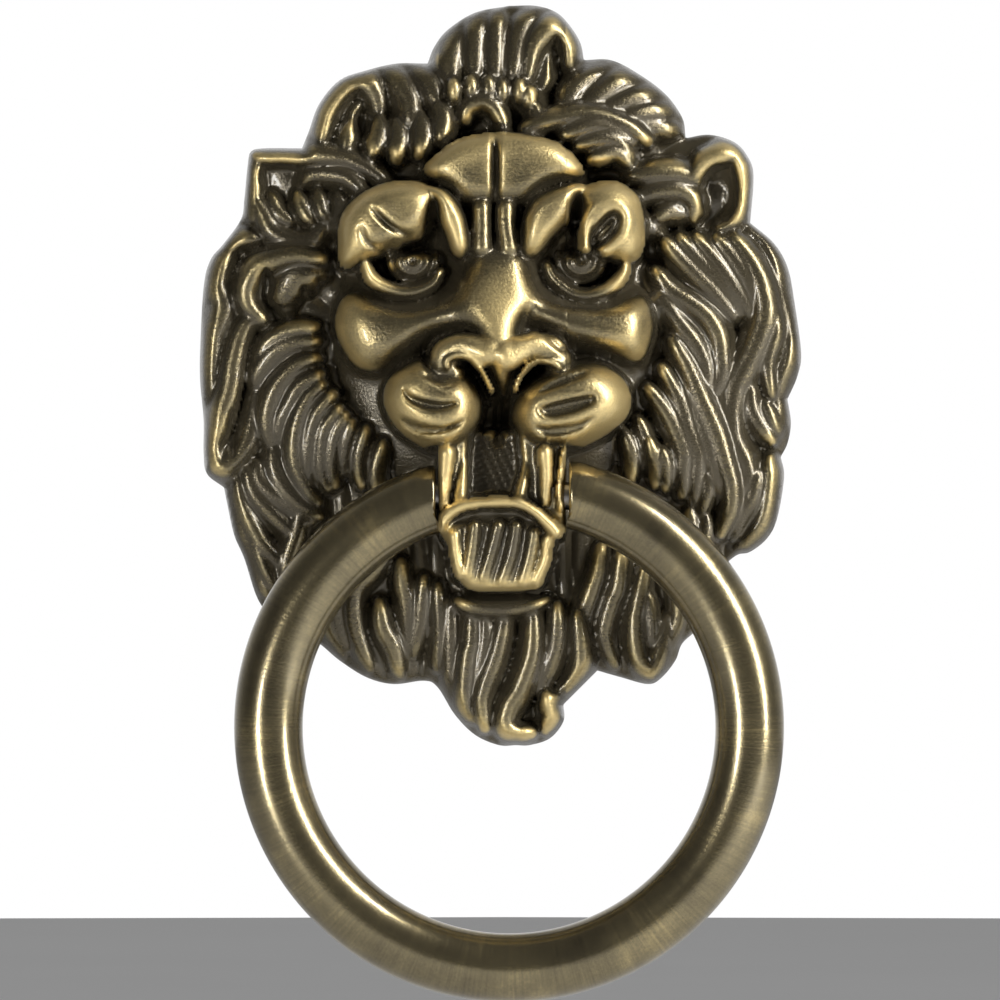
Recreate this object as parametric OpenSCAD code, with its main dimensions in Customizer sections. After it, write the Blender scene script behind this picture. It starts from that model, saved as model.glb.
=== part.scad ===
// Door knocker: a cast lion head that holds a swinging ring in its jaw, bolted through a door.
// Millimetres. +Z up, the face looks along -Y, and the back face lies on the door at y = 0.

/* [Head] */
// radius of the casting's filled middle, inside the scalloped edge
head_r = 41.5; // [36:0.5:42.5]
// thickness of the casting at its outer edge
edge_t = 5.5; // [4:0.1:6.5]
// height of the mane above the door, near the edge
mane_h = 7.6; // [6.6:0.1:8.2]
// height of the skull above the mane
skull_h = 7; // [5:0.5:9]
// depth of the wavy hair
hair_h = 1.1; // [0:0.1:1.4]
// flat rim left round the hollow back
rim_w = 3.2; // [2.5:0.1:5]

/* [Jaw] */
// width of the jaw between the ring's two ends
jaw_w = 18.6; // [17:0.1:22]
// sideways place of the jaw's middle
jaw_x = -1; // [-1.5:0.1:0.5]
// how far the jaw's front stands off the door
jaw_out = 25.5; // [24.5:0.1:28]

/* [Ring] */
// outside diameter of the ring
ring_od = 80; // [76:1:96]
// thickness of the ring's round bar
bar_d = 10; // [9:0.5:11]
// height of the swing axis, below the centre of the head
pivot_drop = 17.7; // [17:0.1:19]
// distance of the swing axis from the door
pivot_out = 18; // [17.5:0.1:19]
// gap between each end of the ring and the jaw
end_gap = 0.4; // [0.3:0.1:1]
// diameter of the two steel pins
pin_d = 4; // [3:0.1:5]
// length of a pin inside the ring
pin_in_ring = 6; // [4:0.5:7]
// length of a pin inside the jaw
pin_in_jaw = 4; // [3:0.1:4.2]
// radial clearance of a pin in the jaw
pin_play = 0.1; // [0.05:0.01:0.2]

/* [Fixing] */
// distance between the two studs
stud_pitch = 56; // [52:1:60]
// diameter of a stud where it passes through the door
stud_d = 6; // [5:0.1:7]
// diameter of a stud's threaded ends
thread_d = 5; // [4:0.1:5]
// length of the plain shank behind the head
shank_l = 36; // [30:1:40]
// thickness of the door
door_t = 44; // [42:1:50]
// length of a stud screwed into the head
stud_in = 7; // [5:0.5:7.5]
// radial gap of every screw thread
thread_gap = 0.05; // [0.03:0.01:0.1]
// outside diameter of a washer
washer_d = 14; // [12:0.5:18]
// thickness of a washer
washer_t = 1.4; // [1:0.1:2]
// radial gap of a washer round the stud's thread
washer_gap = 0.7; // [0.2:0.1:1]
// width of a cap nut across its flats
nut_af = 9; // [8:0.5:11]

/* [Hidden] */
$fn = 48;
arc_n = 96;
row_n = 26;
back_n = 7;
ring_r = (ring_od - bar_d) / 2;
end_x = jaw_w / 2 + end_gap;
ring_z = -pivot_drop - sqrt(ring_r * ring_r - end_x * end_x);
boss_d = 12;
boss_top = 8.6;
stud_z = stud_pitch / 2;
hex_h = 4;
thread_end = door_t + washer_t + hex_h + 3;
mouth_w = 8.4;
mouth_h = 7.6;
mouth_z = -17.4;
fang_x = 5.8;

// scallops of the outer edge: [x, z, radius]
lobes = [
  [-0.5, 42, 12.5], [14.5, 34, 12], [28, 27.5, 8.5], [31, 9, 12], [31, 0, 12], [29.5, -16, 11.5],
  [19.5, -28, 13], [18.5, -37, 8.5], [0.5, -45, 9.5], [-17.5, -35, 10.5], [-26.5, -27, 12.5],
  [-32.5, -10, 12.5], [-33.5, 3, 12], [-33.5, 12, 12], [-31, 27, 8], [-18.5, 34, 12]
];
// raised and sunken forms of the face: [x, z, half width, half height, rise]
forms = [
  [-1, 0, 27, 36, skull_h], [-1, 30, 13, 9, 4], [-13, 22, 7.5, 6, 3.2], [11, 22, 8.5, 6, 3.2],
  [-1, 11, 6.5, 17, 8], [-1, 1.5, 9.5, 7, 7], [-10.5, -4.5, 11, 9, 12], [8.5, -4.5, 11, 9, 12],
  [-16, 7, 9, 6, 2.2], [15, 7, 9, 6, 2.2], [-15, 16, 4.5, 3, -2.4], [10.5, 16, 4.5, 3, -2.4],
  [-1, 27, 1.6, 7, -1.4], [-31, 27, 7, 7, 3], [-31, 28, 4.5, 4.5, -3.5], [28, 27, 7.5, 7.5, 3],
  [29, 28, 4.5, 4.5, -3.5]
];

function reach(l, c, s) =
  let (q = l[2] * l[2] - pow(l[0] * s - l[1] * c, 2)) q > 0 ? l[0] * c + l[1] * s + sqrt(q) : 0;
function edge_r(a) = max(head_r, max([for (l = lobes) reach(l, cos(a), sin(a))]));
function lump(f, x, z) = let (e = 1 - pow((x - f[0]) / f[2], 2) - pow((z - f[1]) / f[3], 2))
  e > 0 ? f[4] * e * sqrt(e) : 0;
// locks of hair: they fan out from the face and curl a little towards the edge
function hair(x, z) = let (d = norm([x, z]), a = atan2(z, x), m = min(1, max(0, (d - 25) / 8)))
  hair_h * m * (2 * abs(cos(9 * a + 3 * d)) - 1);
// nothing rises into the ring's path, from the jaw's sockets down to the beard
function room(z) = z > -8.5 ? 60 : z > -11.5 ? 12 + (z + 11.5) * 16
  : 12 - 0.19 * max(0, -z - pivot_drop);
function lift(x, z, s) = min(room(z), mane_h + [for (f = forms) lump(f, x, z)] * [for (f = forms) 1]
  + hair(x, z)) * (1 - pow(s, 12)) + edge_t * pow(s, 12);
function hollow(s) = 2 + 6 * (1 - s * s * s);

module head_shell() {
  at = [for (i = [0:arc_n - 1]) 360 * i / arc_n];
  front = [for (j = [1:row_n]) for (a = at) let (s = pow(j / row_n, 0.9), r = s * edge_r(a))
    [r * cos(a), -lift(r * cos(a), r * sin(a), s), r * sin(a)]];
  foot = [for (a = at) [edge_r(a) * cos(a), 0, edge_r(a) * sin(a)]];
  lip = [for (a = at) let (r = edge_r(a) - rim_w) [r * cos(a), 0, r * sin(a)]];
  inner = [for (j = [back_n:-1:1]) for (a = at)
    let (s = j / back_n, r = s * (edge_r(a) - rim_w - 0.8))
    [r * cos(a), -hollow(s), r * sin(a)]];
  pts = concat([[0, -lift(0, 0, 0), 0]], front, foot, lip, inner, [[0, -hollow(0), 0]]);
  bands = row_n + 1 + back_n;
  faces = concat(
    [for (i = [0:arc_n - 1]) [0, 1 + (i + 1) % arc_n, 1 + i]],
    [for (j = [0:bands - 1]) for (i = [0:arc_n - 1]) let (k = (i + 1) % arc_n, p = 1 + j * arc_n)
      each [[p + i, p + arc_n + k, p + arc_n + i], [p + i, p + k, p + arc_n + k]]],
    [for (i = [0:arc_n - 1]) let (k = (i + 1) % arc_n, p = 1 + bands * arc_n)
      [p + k, len(pts) - 1, p + i]]
  );
  polyhedron(points = pts, faces = faces);
}

// the lower jaw and chin, flat at both sides where the ring's ends turn against it
module jaw() {
  intersection() {
    translate([jaw_x - jaw_w / 2, 0, 0]) rotate([90, 0, 90]) linear_extrude(jaw_w)
      polygon([[-7, -9], [-20, -9], [-23.5, -10], [-24, -17], [-jaw_out, -18], [-jaw_out, -21],
        [-24.4, -22.5], [-24.8, -26], [-23, -29], [-18, -31.5], [-12, -32], [-7, -31]]);
    translate([jaw_x, 14 - jaw_out, -40]) cylinder(h = 40, r = 14);
  }
}

module fang(x) {
  translate([jaw_x + x, 2 - jaw_out, mouth_z]) cylinder(h = 9, r1 = 0.5, r2 = 1.7, $fn = 24);
}

module lion_head() {
  color([0.62, 0.47, 0.22]) difference() {
    union() {
      difference() {
        union() {
          head_shell();
          jaw();
        }
        // the open mouth
        translate([jaw_x - mouth_w / 2, -jaw_out - 2, mouth_z]) cube([mouth_w, 5, mouth_h]);
      }
      for (x = [-fang_x, fang_x]) fang(x);
      for (z = [-stud_z, stud_z]) translate([0, 0, z]) rotate([90, 0, 0])
        cylinder(h = boss_top, d = boss_d);
    }
    for (z = [-stud_z, stud_z]) translate([0, 1, z]) rotate([90, 0, 0])
      cylinder(h = stud_in + 1.2, d = thread_d + 2 * thread_gap);
    for (m = [-1, 1]) translate([jaw_x + m * (jaw_w / 2 + 1), -pivot_out, -pivot_drop])
      rotate([0, -90 * m, 0]) cylinder(h = pin_in_jaw + 1.3, d = pin_d + 2 * pin_play);
  }
}

module ring() {
  color([0.68, 0.52, 0.25]) difference() {
    translate([0, -pivot_out, ring_z]) rotate([90, 0, 0])
      rotate_extrude($fn = 96) translate([ring_r, 0]) circle(d = bar_d);
    translate([jaw_x - end_x, -pivot_out - bar_d, ring_z]) cube([2 * end_x, 2 * bar_d, ring_od]);
    for (m = [-1, 1]) translate([jaw_x + m * (end_x - 1), -pivot_out, -pivot_drop])
      rotate([0, 90 * m, 0]) cylinder(h = pin_in_ring + 1, d = pin_d);
  }
}

module pivot_pin(side) {
  color([0.7, 0.7, 0.7])
    translate([jaw_x + side * (jaw_w / 2 - pin_in_jaw), -pivot_out, -pivot_drop])
    rotate([0, 90 * side, 0]) cylinder(h = pin_in_jaw + end_gap + pin_in_ring, d = pin_d);
}
module pivot_pin_left() { pivot_pin(-1); }
module pivot_pin_right() { pivot_pin(1); }

module stud(z) {
  color([0.72, 0.64, 0.4]) translate([0, -stud_in, z]) rotate([-90, 0, 0]) union() {
    translate([0, 0, stud_in]) cylinder(h = shank_l, d = stud_d);
    cylinder(h = stud_in + thread_end, d = thread_d);
  }
}
module stud_upper() { stud(stud_z); }
module stud_lower() { stud(-stud_z); }

module washer(z) {
  color([0.75, 0.68, 0.45]) translate([0, door_t, z]) rotate([-90, 0, 0]) difference() {
    cylinder(h = washer_t, d = washer_d);
    translate([0, 0, -1]) cylinder(h = washer_t + 2, d = thread_d + 2 * washer_gap);
  }
}
module washer_upper() { washer(stud_z); }
module washer_lower() { washer(-stud_z); }

// a hexagon with a domed, closed end
module cap_nut(z) {
  dome = nut_af / 2 - 0.2;
  color([0.72, 0.6, 0.32]) translate([0, door_t + washer_t, z]) rotate([-90, 0, 0]) difference() {
    union() {
      cylinder(h = hex_h, d = nut_af / cos(30), $fn = 6);
      intersection() {
        translate([0, 0, hex_h]) sphere(r = dome);
        cylinder(h = hex_h + dome, r = dome);
      }
    }
    translate([0, 0, -1]) cylinder(h = hex_h + 4.2, d = thread_d + 2 * thread_gap);
  }
}
module cap_nut_upper() { cap_nut(stud_z); }
module cap_nut_lower() { cap_nut(-stud_z); }

lion_head();
ring();
pivot_pin_left();
pivot_pin_right();
stud_upper();
stud_lower();
washer_upper();
washer_lower();
cap_nut_upper();
cap_nut_lower();
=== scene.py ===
"""A cast lion-head door knocker whose ring swings in the jaw, with its studs, washers and cap nuts.

Relief heights are in millimetres above the door, and everything else is in metres.
"""

import math

import bmesh
import bpy
import numpy as np
from mathutils import Matrix, Vector


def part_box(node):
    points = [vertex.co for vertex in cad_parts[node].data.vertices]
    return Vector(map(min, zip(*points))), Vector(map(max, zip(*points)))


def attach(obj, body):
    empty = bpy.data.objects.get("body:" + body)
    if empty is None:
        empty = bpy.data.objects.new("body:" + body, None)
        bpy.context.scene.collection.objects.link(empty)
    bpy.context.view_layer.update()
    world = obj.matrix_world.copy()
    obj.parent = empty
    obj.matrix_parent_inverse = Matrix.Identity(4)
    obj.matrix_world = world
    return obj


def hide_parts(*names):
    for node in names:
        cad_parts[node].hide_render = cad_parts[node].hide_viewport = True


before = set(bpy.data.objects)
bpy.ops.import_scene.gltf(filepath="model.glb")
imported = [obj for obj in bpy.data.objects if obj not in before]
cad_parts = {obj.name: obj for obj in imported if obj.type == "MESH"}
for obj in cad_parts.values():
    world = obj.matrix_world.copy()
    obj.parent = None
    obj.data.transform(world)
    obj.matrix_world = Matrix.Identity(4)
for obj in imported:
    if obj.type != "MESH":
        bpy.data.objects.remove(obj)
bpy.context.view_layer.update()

bl_info = {
    "name": "Lion-head door knocker",
    "version": (1, 0, 0),
    "blender": (4, 5, 0),
    "location": "View3D > Sidebar > Knocker",
    "description": "Builds a cast lion head with a ring in its jaw and the fixings behind it",
    "category": "Object",
}

MM = 0.001
HEAD_LOW, HEAD_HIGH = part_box("lion_head")
RING_LOW, RING_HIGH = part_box("ring")
PIN_LOW, PIN_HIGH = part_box("pivot_pin_right")
STUD_LOW, STUD_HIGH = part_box("stud_upper")
WASHER_LOW, WASHER_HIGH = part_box("washer_upper")
NUT_LOW, NUT_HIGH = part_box("cap_nut_upper")

BAR_R = (RING_HIGH[1] - RING_LOW[1]) / 2
RING_Y = (RING_HIGH[1] + RING_LOW[1]) / 2
RING_R = (RING_HIGH[0] - RING_LOW[0]) / 2 - BAR_R
RING_Z = RING_LOW[2] + BAR_R + RING_R
PIVOT_Z = (PIN_HIGH[2] + PIN_LOW[2]) / 2
PIN_R = (PIN_HIGH[2] - PIN_LOW[2]) / 2
JAW_MID = (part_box("pivot_pin_left")[0][0] + PIN_HIGH[0]) / 2
JAW_HALF = 0.0093
RING_GAP_HALF = 0.0097
STUD_Z = (STUD_HIGH[2] + STUD_LOW[2]) / 2
STUD_R = (STUD_HIGH[0] - STUD_LOW[0]) / 2
THREAD_R = STUD_R * 5 / 6
SHANK_END = 0.036
BOSS_HEIGHT = 0.0086

# The casting's edge, in millimetres, clockwise from the top, as curves between its notches. Each
# curve starts where the one before it ends.
EDGE = [
    [(4, 54.5), (7, 53.5), (9, 51.5), (10.5, 49), (11, 46.5)],
    [(15, 46.5), (19, 44.5), (23, 41.5), (25.5, 38), (26, 35)],
    [(29.5, 35.5), (33, 34.5), (35, 32.5), (36, 29.5), (35.5, 22.5)],
    [(39, 19.5), (41, 16), (42, 11), (43, 3.5), (42.5, 0), (41, -3.5)],
    [(41.5, -7), (41, -10), (40, -12)],
    [(40.5, -15), (39.5, -21), (38, -24), (35.5, -26), (33.5, -26.5), (31.5, -28.5), (29.5, -33),
     (28, -37), (25.5, -39.5), (24.5, -42), (22.5, -44.5), (20.5, -45.5), (16.5, -44.5),
     (13, -43.5)],
    [(10.5, -46), (8, -48.5)],
    [(8, -51), (6, -53.5), (3, -54.5), (1, -54.5), (-1.5, -54.5), (-5, -53), (-8, -50),
     (-10.5, -46), (-12.5, -45), (-17, -45.5), (-21, -44.5), (-25, -42), (-28, -39.5), (-31, -38),
     (-34.5, -36), (-37, -33), (-39, -27), (-40.5, -23.5), (-41.5, -19), (-42, -16.5)],
    [(-44.5, -14.5), (-45, -11.5), (-45, -6.5), (-45.5, -1), (-45.5, 4), (-45, 13), (-44, 17),
     (-42, 19.5), (-39.5, 23), (-39, 26), (-38.5, 31), (-38, 33), (-36, 33.5), (-30.5, 33.5)],
    [(-29.5, 36), (-28, 40), (-25, 43.5), (-21, 45), (-16.5, 46), (-12, 46)],
    [(-11, 48.5), (-9, 51), (-5, 53.5), (0, 54.5)],
]

# The skull under the mane: centre x, z, half width, half height, foot, top, blend
SKULL = [
    (-1.5, 6, 24, 27, 6, 11.5, 2.0),
    (-1.8, 11, 20, 19, 8, 15.2, 2.5),
]
# Forms of the face: foot, top, how much of the width rounds over, blend, rise per millimetre
# to the right and upward, and the outline
FOREHEAD = (13.5, 18.8, 0.8, 0.4, 0, 0.02, [
    (-12.5, 29.5), (-11.5, 31.5), (-7.5, 34.5), (-2, 35.5), (4, 35), (8, 33.5), (11, 29.5),
    (6, 27), (2.5, 24.5), (-2, 24.5), (-6.5, 24.5), (-9.5, 27)])
BROWS = [
    (12.5, 20.8, 1.0, 0.4, 0.05, 0, [
        (-25, 17.5), (-24.5, 23.5), (-20, 27.5), (-14, 28.5), (-10, 27), (-10, 24.5), (-11, 22),
        (-12, 20), (-15, 18.5), (-20, 16.5), (-24, 15.5)]),
    (12.5, 21.0, 1.0, 0.4, -0.05, 0, [
        (9.5, 27), (15, 28.5), (19, 26), (20, 20.5), (19, 17), (16.5, 16), (12.5, 17), (11, 19),
        (10, 22), (10, 24.5)]),
    (13, 21.2, 1.0, 1.4, 0, 0.05, [
        (-12.5, 27.5), (-9, 27), (-6.5, 24), (-5.5, 20.5), (-5.5, 18), (-7, 16.5), (-8.5, 17.5),
        (-9.5, 20), (-10.5, 22.5), (-11, 25)]),
    (13, 21.2, 1.0, 1.4, 0, 0.05, [
        (1.5, 17.5), (1.5, 22), (3.5, 26), (8.5, 28), (11.5, 27.5), (10, 24.5), (9, 22), (7, 20),
        (5, 17.5), (3.5, 16.5)]),
]
CHEEKS = [
    (9.0, 19.2, 1.0, 2.2, 0.1, -0.04, [
        (-25.5, 6), (-25, 10.5), (-22, 12.5), (-15, 11), (-9, 12.5), (-3, 13.5), (-2.5, 6),
        (-6.5, 4.5), (-11, 4.5), (-14, 2), (-18, 0), (-22.5, 1)]),
    (9.0, 19.6, 1.0, 2.2, -0.1, -0.12, [
        (0, 9), (2, 13), (8, 12), (14, 11.5), (19.5, 12), (21.5, 8), (20.5, 3.5), (18.5, 1.5),
        (15, 2), (9.5, 3), (7, 4), (4, 5.5)]),
]
PADS = [
    (11, 24.2, 0.95, 0.8, 0.05, 0.05, [
        (-11, 2.5), (-14, 2.5), (-17.5, 0), (-18.5, -4), (-16.5, -8), (-12.5, -11), (-8, -12),
        (-4.5, -8.5), (-3.5, -4), (-5, -0.5), (-7, 1), (-9, 0.5)]),
    (11, 24.2, 0.95, 0.8, -0.05, 0.05, [
        (1, -2), (4.5, 0.5), (8, 2), (13.5, 2), (17.5, -1.5), (17.5, -6), (13.5, -9.5),
        (8.5, -11.5), (3.5, -11.5), (0.5, -8.5), (0, -5)]),
]
NOSE = (13, 22.4, 0.8, 2.6, 0, -0.36, [
    (-5, 20), (-7, 16), (-8.5, 12), (-8, 8.5), (-6, 6), (-5, 2.5), (-3, -1), (-1, -3.5), (0.5, -2.5),
    (2, 1), (2.5, 4.5), (3, 8), (5, 11), (4, 15), (2.5, 20)])
# Places sunk into the forms: depth, how much of the width slopes, and the outline
SOCKETS = [
    (3.2, 0.8, [(-22, 16), (-16, 19.5), (-10.5, 21.5), (-7.5, 16), (-9, 12.5), (-14, 11),
                (-19.5, 12.5)]),
    (3.2, 0.8, [(4.5, 17), (7.5, 19), (10, 21.5), (12.5, 18.5), (18, 16), (16, 12), (11, 10.5),
                (6.5, 12)]),
]
POCKETS = [
    (2.3, 0.7, [(11.5, 18), (11.5, 20), (13, 22.5), (15, 24), (16.5, 23), (16, 20.5), (14, 18.5)]),
    (1.3, 0.7, [(-15.5, -1.5), (-14, -3), (-10.5, -4), (-7.5, -4), (-8, -5), (-11.5, -5.5),
                (-15, -4)]),
    (1.4, 0.7, [(-16, -6), (-13, -7), (-9.5, -7.5), (-6.5, -6.5), (-7.5, -8), (-11.5, -9),
                (-15, -8)]),
    (1.1, 0.7, [(4, -3), (6.5, -1), (11, 0.5), (11, -0.5), (7.5, -2)]),
    (1.4, 0.7, [(4, -5), (6.5, -4), (11, -3), (12.5, -3), (12.5, -4.5), (9, -6), (5.5, -6.5)]),
    (1.2, 0.7, [(3.5, -7.5), (5.5, -7.5), (9.5, -7), (12.5, -6), (11, -8), (8, -9), (5, -9)]),
    (1.7, 0.9, [(-8, 1), (-6.5, 2), (-5, 1), (-3, -1.5), (-2.5, -5), (-3.5, -4.5), (-5, -1),
                (-6.5, 0.5)]),
    (1.8, 0.9, [(0.5, -2.5), (2, 0), (4, 1.5), (6.5, 1), (4, -0.5), (2, -2), (0, -5)]),
]
# Thick soft ridges of the face: half width, top at the start, top at the end, blend, points
FOLDS = [
    (1.65, 18.7, 19.2, 0.2, [(-4, 24), (-4, 22), (-4, 18.5)]),
    (1.65, 18.7, 19.2, 0.2, [(-0.5, 24), (-0.5, 22), (0, 18.5)]),
    (2.2, 24.0, 21.8, 2.2, [(-3.5, 3), (-6.5, 4), (-9, 3), (-9.5, 1.5), (-8.5, 0.5)]),
    (2.2, 24.2, 22.2, 2.2, [(0, 2.5), (3, 4), (6, 3.5), (7, 2)]),
    (0.9, 19.4, 18.2, 0.8, [(-20.5, 21.5), (-18.5, 20), (-16.5, 19)]),
    (1.0, 21.0, 21.0, 0.6, [(11, 18.5), (11, 21), (12.5, 24), (15, 25), (17, 23), (16.5, 20),
                            (14, 18)]),
]

# Rounded strands: half width, top at the start, top at the end, then the points they follow
CREST = [
    (2.0, 10.5, 7.5, [(-8.5, 43), (-8.5, 46), (-7.5, 51)]),
    (1.8, 10.5, 7.5, [(-5, 44), (-5, 48), (-4.5, 53)]),
    (1.6, 10.8, 7.5, [(-2, 44), (-2, 49), (-1.5, 53.5)]),
    (1.6, 10.8, 7.5, [(0.5, 44), (1, 48), (2, 51), (4, 53.5)]),
    (1.5, 10.5, 8.5, [(2.5, 43), (3.5, 48), (5.5, 50.5), (7.5, 51), (9, 48.5), (9, 45.5)]),
    (1.0, 9.0, 8.0, [(4.5, 41.5), (5.5, 44), (6, 47)]),
    (1.2, 12, 12, [(-6.5, 37.5), (-6, 39), (-4, 40), (-2, 39), (-0.5, 36)]),
    (1.5, 9.5, 8, [(-10, 46.5), (-9.5, 44), (-9, 41.5)]),
    (2.4, 10.0, 10.0, [(-9, 40), (-5, 42), (0, 41.5), (5, 38.5)]),
]
TUFTS = [
    (1.9, 9.5, 8.5, [(-27.5, 34.5), (-27, 38.5), (-24.5, 42.5), (-21.5, 43.5), (-19.5, 41),
                     (-19, 38)]),
    (0.9, 8.0, 7.6, [(-23.5, 35.5), (-23, 38), (-22, 40)]),
    (1.8, 8.0, 11, [(-18, 45), (-16, 42.5), (-14.5, 40), (-14.5, 37)]),
    (1.8, 8.0, 11, [(-14, 45.5), (-12, 43), (-10.5, 40)]),
    (1.3, 10, 9, [(-24, 33), (-23.5, 35), (-23, 37)]),
    (1.5, 11.5, 9.5, [(-20, 32.5), (-19, 35), (-19, 37.5)]),
    (1.5, 12.5, 10.5, [(-16.5, 32), (-16, 34.5), (-16.5, 37)]),
    (1.5, 13, 11, [(-13, 32.5), (-12.5, 35), (-13, 38)]),
    (1.4, 13, 11, [(-10, 34.5), (-9.5, 37.5), (-10.5, 40)]),
    (1.7, 11, 7.5, [(8, 39.5), (10, 42), (12, 43.5), (14.5, 45)]),
    (1.7, 11, 7.5, [(11.5, 39.5), (14, 41.5), (16.5, 43), (20, 44)]),
    (1.6, 10.8, 7.5, [(14.5, 39), (17, 40), (20, 41), (23, 42)]),
    (1.5, 10.5, 7.5, [(17.5, 38), (20, 38.5), (24.5, 39)]),
    (1.5, 10, 7.5, [(17.5, 36.5), (20, 36.5), (25, 36)]),
    (1.4, 13.5, 11, [(2.5, 36), (7, 37.5), (12, 38), (17, 36.5), (20, 34.5)]),
    (1.3, 13.5, 11, [(8, 35), (12, 36.5), (15, 36), (18, 34)]),
    (1.2, 13.2, 11, [(10, 33.5), (13.5, 34.5), (16, 34), (18, 31.5)]),
    (1.1, 13, 11, [(12, 31.5), (15.5, 32.5), (18, 30.5)]),
]
EARS = [
    (1.5, 8.5, 11, [(-38, 32.5), (-34.5, 32.5), (-30.5, 32.5), (-26, 32), (-23, 31.5), (-19.5, 29.5),
                    (-18, 28)]),
    (1.6, 8, 8, [(-37.5, 32), (-38, 28.5), (-38, 25), (-37.5, 23)]),
    (1.6, 8, 9.5, [(-37.5, 26), (-36, 23.5), (-34.5, 21), (-31, 19.5), (-28.5, 20), (-27, 22)]),
    (1.4, 8, 11.5, [(-31, 28.5), (-28, 29.5), (-24, 29), (-21.5, 27)]),
    (1.2, 7.5, 8.5, [(-35, 26.5), (-34, 24), (-32, 22.5)]),
    (1.2, 8.5, 9.5, [(-31, 26.5), (-30, 24), (-29, 22.5)]),
    (1.2, 9, 10, [(-28, 27), (-27.5, 24.5), (-27, 23)]),
    (1.2, 10, 10.5, [(-25, 26.5), (-24.5, 24), (-25.5, 21.5)]),
    (1.2, 11, 11, [(-22.5, 25.5), (-22.5, 23.5), (-23.5, 21)]),
    (1.6, 10.5, 8.5, [(27, 29), (28.5, 31), (30.5, 32), (33, 33), (34.5, 31), (35, 28), (34.5, 25),
                      (33, 23), (31, 21.5)]),
    (1.6, 11.5, 10, [(18, 29), (21.5, 29.5), (25, 29.5), (27.5, 28.5)]),
    (1.5, 11.5, 9.5, [(19, 26), (22, 27), (25, 27), (27, 25.5), (27, 23)]),
    (1.4, 11, 9, [(21.5, 23), (23.5, 24), (26.5, 23.5)]),
    (1.2, 11, 10, [(19, 23.5), (20, 22), (22, 21)]),
    (0.9, 8, 8, [(29.5, 29.5), (31.5, 30), (33, 28), (32.5, 25)]),
]
LEFT_MANE = [
    (1.9, 8.4, 8.2, [(-37, 20), (-40, 20), (-42, 18.5), (-42.5, 16), (-43, 13), (-42, 10.5),
                     (-42.5, 8), (-43.5, 5.5), (-44, 1), (-44, -4)]),
    (1.6, 11, 9.4, [(-27.5, 17), (-31, 17.5), (-34, 17), (-37, 15.5), (-38.5, 12.5), (-38, 10),
                    (-36, 8)]),
    (3.0, 10.4, 9, [(-28, 15), (-31, 14.5), (-32.5, 12), (-32.5, 10)]),
    (1.9, 9.4, 8.6, [(-36, 8), (-38, 8), (-39.5, 5.5), (-40.5, 1.5), (-41, -2), (-42.5, -6.5),
                     (-44, -10), (-43.5, -12.5), (-42, -13.5), (-40.5, -12.5), (-38.5, -10),
                     (-37.5, -6), (-37, -2)]),
    (2.0, 11, 8.8, [(-28.5, 5), (-31, 5), (-34, 3.5), (-36.5, 0.5), (-37, -2)]),
    (1.2, 11, 9.2, [(-28.5, 7), (-32, 6.5), (-35, 5), (-37, 2.5)]),
    (1.6, 11.2, 9, [(-28.5, 2.5), (-31, 1.5), (-33.5, -1), (-35, -4), (-35.5, -7), (-35, -9.5),
                    (-34, -10.5)]),
    (1.5, 11.4, 9.2, [(-28, 0), (-30.5, -1.5), (-32, -4), (-33.5, -7), (-33.5, -10)]),
    (1.8, 9, 8.8, [(-34, -9.5), (-34.5, -12), (-34, -14.5), (-32.5, -17), (-30.5, -19),
                   (-28, -20.5)]),
    (1.4, 11.6, 9.2, [(-27.5, -1.5), (-29.5, -3.5), (-31, -7), (-31.5, -11), (-31, -14), (-29.5, -17),
                      (-28, -18.5)]),
    (1.4, 11.8, 9.2, [(-26, -3), (-28, -5.5), (-29, -8.5), (-29.5, -12.5), (-29, -16.5)]),
    (1.3, 11.8, 9.4, [(-25, -5), (-27, -8), (-27.5, -11.5), (-27.5, -14), (-26.5, -16.5)]),
    (1.2, 11.8, 9.6, [(-24, -6), (-25.5, -9), (-26, -13), (-25.5, -16)]),
    (1.1, 11.6, 9.8, [(-23, -7), (-24, -10.5), (-24, -14)]),
    (1.2, 11.4, 9.8, [(-21, -8), (-22, -12), (-21.5, -16)]),
    (1.2, 11.2, 9.8, [(-18.5, -10), (-19.5, -14), (-19, -17.5)]),
    (1.5, 8.8, 8.2, [(-37, -13), (-36.5, -15.5), (-34.5, -17.5), (-31.5, -19.5), (-29, -21.5)]),
    (1.5, 8.8, 8, [(-38.5, -14), (-37.5, -17), (-36, -19), (-33.5, -21.5), (-30.5, -24)]),
    (1.5, 8.4, 7.6, [(-40, -15.5), (-39.5, -18.5), (-38, -21.5), (-36, -25), (-33, -28)]),
    (1.6, 8, 7, [(-41.5, -16.5), (-41, -19), (-40, -22), (-39, -25.5), (-37.5, -29.5), (-35.5, -32)]),
    (1.3, 7.8, 7, [(-38, -22.5), (-37, -25.5), (-35.5, -29), (-33.5, -32)]),
    (1.5, 8.6, 7, [(-30.5, -18.5), (-31, -22.5), (-32.5, -27), (-33, -33)]),
]
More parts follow.
